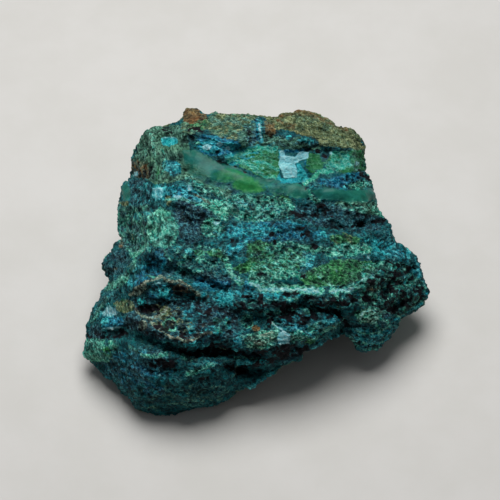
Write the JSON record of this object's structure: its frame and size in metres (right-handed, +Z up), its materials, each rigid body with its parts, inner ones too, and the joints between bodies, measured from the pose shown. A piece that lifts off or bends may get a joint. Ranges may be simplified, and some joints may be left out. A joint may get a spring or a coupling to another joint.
{
  "type": "chrysocolla specimen",
  "caption": "Rough broken stone with a layered blue-green display side, a weathered crust, an overhanging lip and a flat spot to rest on.",
  "frame": {"origin": "centre of the footprint's box, on the surface that the stone rests on", "axes": "+Z up, +X to the right along the stone's longest side, -Y towards the viewer of the display side"},
  "size_m": [0.0894, 0.0754, 0.0454],
  "materials": {
    "chrysocolla": "rough, banded teal, mint, blue and black mineral with small glassy patches"
  },
  "bodies": {
    "root": {"stone": "chrysocolla"}
  },
  "joints": []
}
